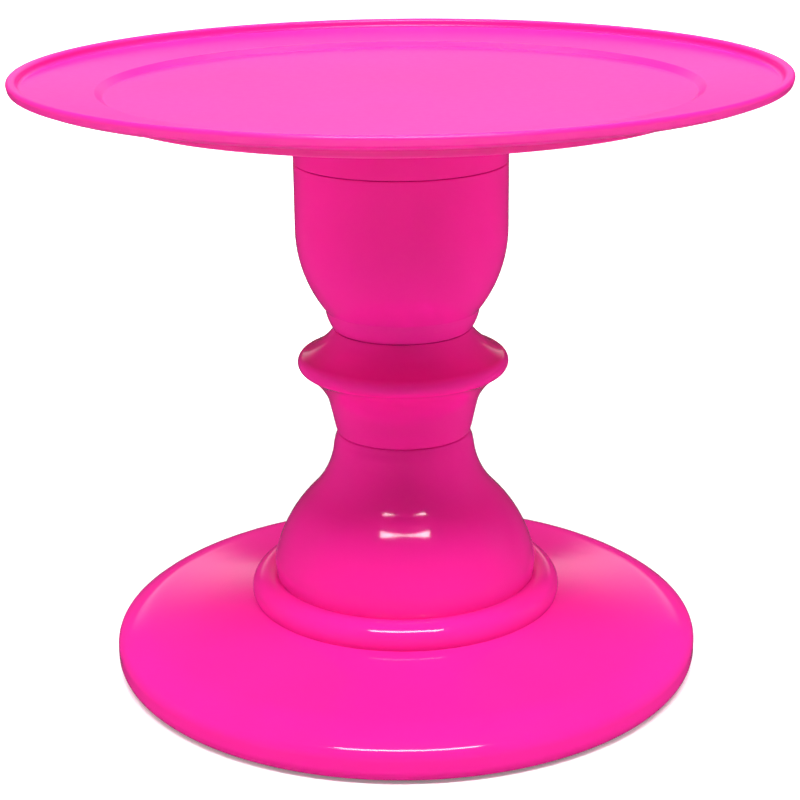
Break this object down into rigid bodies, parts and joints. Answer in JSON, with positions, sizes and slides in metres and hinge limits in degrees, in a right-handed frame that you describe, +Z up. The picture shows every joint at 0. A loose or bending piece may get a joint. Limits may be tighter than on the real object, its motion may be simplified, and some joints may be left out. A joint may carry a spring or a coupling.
{
  "type": "cake turntable",
  "caption": "Pedestal cake turntable: dished round plate that turns on a ball ring over a turned-profile hollow column with a wide round foot.",
  "frame": {"origin": "on the table, in the middle of the base, level with the undersides of the rubber feet", "axes": "+Z up along the turning axis of the plate; the ribs and feet repeat every 60 degrees and one foot lies on +X"},
  "size_m": [0.3, 0.3, 0.2454],
  "materials": {
    "pink_plastic": "glossy moulded",
    "white_nylon": "moulded",
    "acetal": "turned",
    "bearing_steel": "ground",
    "turned_steel": "turned",
    "zinc_steel": "zinc plated",
    "foot_rubber": "moulded"
  },
  "bodies": {
    "stand": {"base_shell": "pink_plastic", "rubber_feet": "foot_rubber", "foot_screws": "zinc_steel", "tie_rod": "zinc_steel", "base_washer": "zinc_steel", "spring_washer": "zinc_steel", "rod_nut": "zinc_steel", "knob_module": "pink_plastic", "cup_module": "pink_plastic", "bearing_carrier": "white_nylon", "carrier_screws": "zinc_steel", "spindle": "turned_steel", "spindle_washer": "zinc_steel", "spindle_nut": "zinc_steel", "lower_race": "bearing_steel"},
    "cage": {"ball_cage": "acetal", "bearing_balls": "bearing_steel"},
    "turning_race": {"upper_race": "bearing_steel"},
    "plate_unit": {"plate": "pink_plastic", "plate_collar": "pink_plastic", "collar_screws": "zinc_steel", "hub_bush": "acetal"}
  },
  "joints": [
    {"name": "plate_spin", "type": "hinge", "parent": "stand", "child": "turning_race", "pos_m": [0, 0, 0.216], "axis": [0, 0, 1], "continuous": true},
    {"name": "cage_roll", "type": "hinge", "parent": "stand", "child": "cage", "pos_m": [0, 0, 0.21], "axis": [0, 0, 1], "continuous": true},
    {"name": "plate_lift", "type": "slide", "parent": "turning_race", "child": "plate_unit", "axis": [0, 0, 1], "range_m": [0, 0.04]}
  ],
  "couplings": [
    {"joint": "cage_roll", "follows": "plate_spin", "ratio": 0.5}
  ]
}
